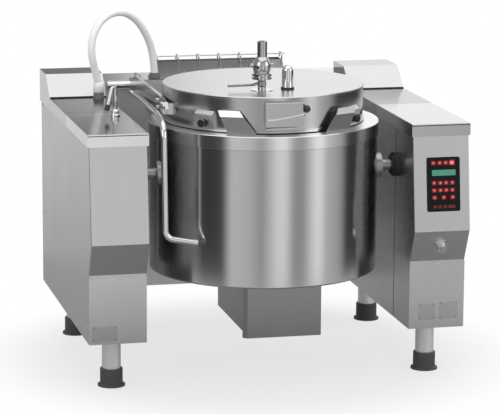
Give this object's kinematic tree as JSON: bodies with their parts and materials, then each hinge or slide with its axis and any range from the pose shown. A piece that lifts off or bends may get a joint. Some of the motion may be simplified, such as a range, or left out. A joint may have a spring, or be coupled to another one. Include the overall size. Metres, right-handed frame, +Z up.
{
  "type": "steam jacketed kettle",
  "caption": "Floor standing tilting steam jacketed kettle between two columns, with hinged lid, pouring guides and a rear flue.",
  "frame": {"origin": "on the floor, in the middle of the overall width and depth", "axes": "+X to the right seen from the front, +Y to the back, +Z up; the kettle pours towards -Y"},
  "size_m": [1.33, 1.168, 1.2171],
  "materials": {
    "brushed_panel": "brushed",
    "top_sheet": "satin",
    "kettle_steel": "brushed, bright",
    "rim_steel": "polished",
    "vessel_steel": "satin",
    "lid_top": "satin",
    "mirror_steel": "mirror",
    "bright_tube": "polished",
    "dark_plastic": "matte",
    "black_plastic": "gloss",
    "black_rubber": "matte",
    "white_hose": "smooth",
    "panel_black": "satin film",
    "display_green": "satin film",
    "knob_grey": "satin",
    "insulation_wool": "matt",
    "painted_steel": "satin",
    "drive_cast": "painted"
  },
  "bodies": {
    "root": {"base_frames": "painted_steel", "control_box": "painted_steel", "control_panel": "panel_black", "dial_ring": "bright_tube", "display_window": "display_green", "flue_box": "brushed_panel", "flue_guard": "bright_tube", "front_covers": "top_sheet", "hose": "white_hose", "hose_glands": "dark_plastic", "left_column_shell": "brushed_panel", "leg_tubes": "bright_tube", "rear_back_panel": "brushed_panel", "rear_boxes": "top_sheet", "rear_covers": "top_sheet", "rear_crossmembers": "painted_steel", "rear_deck": "top_sheet", "rear_fascia": "mirror_steel", "right_column_shell": "brushed_panel", "service_panels": "brushed_panel", "shaft_seals": "black_rubber", "tilt_drive": "drive_cast", "trunnion_bearings": "drive_cast", "water_valve": "bright_tube"},
    "kettle": {"inner_vessel": "vessel_steel", "steam_jacket": "vessel_steel", "outer_casing": "kettle_steel", "insulation": "insulation_wool", "rim_collar": "rim_steel", "heating_box": "brushed_panel", "heating_elements": "painted_steel", "trunnions": "bright_tube", "spout_guides": "rim_steel", "hinge_bracket": "brushed_panel", "hinge_pin": "bright_tube"},
    "lid": {"lid_shell": "lid_top", "lid_liner": "vessel_steel", "lid_gasket": "black_rubber", "lid_arm": "brushed_panel", "lid_bolts": "bright_tube", "hinge_tube": "bright_tube", "lid_handle": "bright_tube", "safety_valve": "bright_tube", "vent_hub": "bright_tube", "domed_post": "bright_tube", "post_ring": "black_rubber", "latch_bracket": "rim_steel", "latch_hook": "rim_steel", "lid_clamps": "rim_steel"},
    "front_left_foot": {"front_left_foot": "dark_plastic"},
    "front_right_foot": {"front_right_foot": "dark_plastic"},
    "rear_left_foot": {"rear_left_foot": "dark_plastic"},
    "rear_right_foot": {"rear_right_foot": "dark_plastic"},
    "vent_lever": {"vent_lever": "bright_tube"},
    "latch_plunger": {"latch_knob": "black_plastic"},
    "left_clamp_screw": {"left_clamp_knob": "black_plastic"},
    "right_clamp_screw": {"right_clamp_knob": "black_plastic"},
    "tap": {"tap_lever": "bright_tube", "tap_knob": "black_plastic"},
    "selector": {"control_knob": "knob_grey"}
  },
  "joints": [
    {"name": "kettle_tilt", "type": "hinge", "parent": "root", "child": "kettle", "pos_m": [0, -0.2655, 0.729], "axis": [1, 0, 0], "range_deg": [0, 90]},
    {"name": "lid_open", "type": "hinge", "parent": "kettle", "child": "lid", "pos_m": [0, 0.3745, 0.937], "axis": [-1, 0, 0], "range_deg": [0, 75]},
    {"name": "vent_lever_turn", "type": "hinge", "parent": "lid", "child": "vent_lever", "pos_m": [-0.046, -0.351, 1.038], "axis": [0, 0, 1], "range_deg": [0, 90]},
    {"name": "latch_pull", "type": "slide", "parent": "lid", "child": "latch_plunger", "axis": [1, 0, 0], "range_m": [0, 0.012], "stiffness_N_per_m": 400},
    {"name": "left_clamp_turn", "type": "hinge", "parent": "lid", "child": "left_clamp_screw", "pos_m": [-0.25451, -0.40884, 0.9223], "axis": [-0.7314, -0.682, 0], "range_deg": [0, 180]},
    {"name": "right_clamp_turn", "type": "hinge", "parent": "lid", "child": "right_clamp_screw", "pos_m": [0.25451, -0.40884, 0.9223], "axis": [0.7314, -0.682, 0], "range_deg": [0, 180]},
    {"name": "tap_turn", "type": "hinge", "parent": "root", "child": "tap", "pos_m": [-0.504, -0.083, 0.995], "axis": [0, 0, 1], "range_deg": [-60, 60]},
    {"name": "selector_turn", "type": "hinge", "parent": "root", "child": "selector", "pos_m": [0.564, -0.4665, 0.4745], "axis": [0, -0.9023, -0.4312], "range_deg": [0, 270]},
    {"name": "front_left_level", "type": "slide", "parent": "root", "child": "front_left_foot", "axis": [0, 0, -1], "range_m": [0, 0.025]},
    {"name": "front_right_level", "type": "slide", "parent": "root", "child": "front_right_foot", "axis": [0, 0, -1], "range_m": [0, 0.025]},
    {"name": "rear_left_level", "type": "slide", "parent": "root", "child": "rear_left_foot", "axis": [0, 0, -1], "range_m": [0, 0.025]},
    {"name": "rear_right_level", "type": "slide", "parent": "root", "child": "rear_right_foot", "axis": [0, 0, -1], "range_m": [0, 0.025]}
  ]
}
